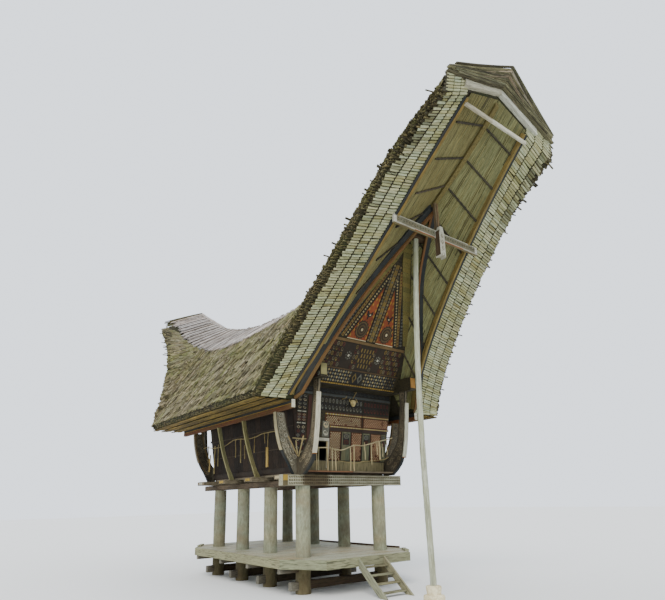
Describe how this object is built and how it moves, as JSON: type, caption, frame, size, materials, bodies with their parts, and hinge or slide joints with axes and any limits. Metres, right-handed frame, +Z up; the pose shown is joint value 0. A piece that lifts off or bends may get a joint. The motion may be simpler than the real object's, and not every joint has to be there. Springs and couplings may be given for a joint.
{
  "type": "raised rice barn with a boat-shaped bamboo saddle roof",
  "caption": "Timber rice barn on round posts with an open platform, painted store room and a boat-shaped bamboo roof.",
  "frame": {"origin": "on the ground, under the middle of the outer box", "axes": "+Z up, -Y towards the front gable with the high prow, +X to the right seen from the front"},
  "size_m": [6.2772, 16.38, 11.254],
  "materials": {
    "post_wood": "weathered, matte",
    "plank_wood": "worn planks, matte",
    "weathered_beam": "weathered, matte",
    "dark_timber": "dark brown, matte",
    "painted_panel": "carved and painted in dark red, black, ochre and white",
    "pale_timber": "pale carved wood",
    "footing_stone": "smooth, matte",
    "roof_bamboo": "split bamboo, weathered and mossy",
    "cap_planks": "grey weathered planks"
  },
  "bodies": {
    "root": {"post_front_left": "post_wood", "post_front_right": "post_wood", "post_second_left": "post_wood", "post_second_right": "post_wood", "post_third_left": "post_wood", "post_third_right": "post_wood", "post_back_left": "post_wood", "post_back_right": "post_wood", "low_tie_front": "weathered_beam", "floor_bearer_front": "weathered_beam", "low_tie_second": "weathered_beam", "floor_bearer_second": "weathered_beam", "low_tie_third": "weathered_beam", "floor_bearer_third": "weathered_beam", "low_tie_back": "weathered_beam", "floor_bearer_back": "weathered_beam", "platform_floor": "plank_wood", "platform_edge_front": "weathered_beam", "platform_edge_right": "weathered_beam", "platform_edge_back": "weathered_beam", "platform_edge_left": "weathered_beam", "ladder": "plank_wood", "prow_pole": "post_wood", "pole_footing": "footing_stone", "sill_left": "weathered_beam", "sill_right": "weathered_beam", "front_beam": "pale_timber", "store_floor": "dark_timber", "front_wall": "painted_panel", "back_wall": "painted_panel", "left_wall": "dark_timber", "right_wall": "dark_timber", "roof": "roof_bamboo", "ridge_cap": "cap_planks", "ridge_pole": "plank_wood", "wall_plate_left": "dark_timber", "wall_plate_right": "dark_timber", "front_gable": "painted_panel", "back_gable": "painted_panel", "corner_boards_front_left": "weathered_beam", "corner_boards_front_right": "weathered_beam", "corner_boards_back_left": "weathered_beam", "corner_boards_back_right": "weathered_beam", "eave_beam_left": "dark_timber", "eave_beam_right": "dark_timber", "prow_rafters_front": "dark_timber", "prow_rafters_back": "dark_timber", "prow_tie_lower": "pale_timber", "prow_tie_upper": "pale_timber", "prow_pendant": "pale_timber", "prow_board": "pale_timber"}
  },
  "joints": []
}
